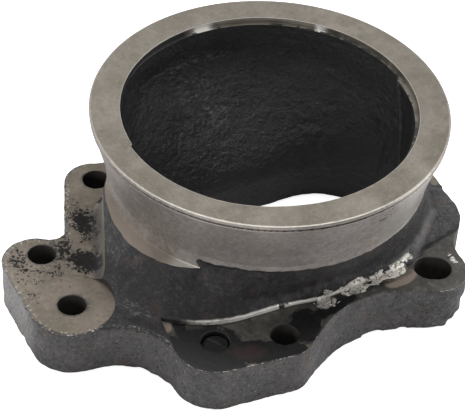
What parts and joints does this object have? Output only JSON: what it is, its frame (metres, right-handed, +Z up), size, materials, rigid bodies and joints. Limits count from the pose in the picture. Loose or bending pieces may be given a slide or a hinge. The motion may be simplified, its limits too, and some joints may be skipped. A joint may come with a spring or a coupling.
{
  "type": "eccentric exhaust outlet adapter",
  "caption": "Cast-iron eccentric reducer: round clamp flange on a short offset neck over a lobed bolt-on foot with an obround port.",
  "frame": {"origin": "middle of the part's outline in plan, on the joint face under the foot", "axes": "+Z up out of the round clamp flange, +X along the long axis of the obround port, +Y to the side the clamp flange overhangs"},
  "size_m": [0.1494, 0.1244, 0.0575],
  "materials": {
    "cast_iron_used": "used grey cast iron: dark matt cast skin with soot and grease, machined faces dull warm grey with faint rust",
    "stud_steel_greasy": "dark greasy steel, scratched cut end"
  },
  "bodies": {
    "root": {"reducer_casting": "cast_iron_used", "seized_stud": "stud_steel_greasy"}
  },
  "joints": []
}
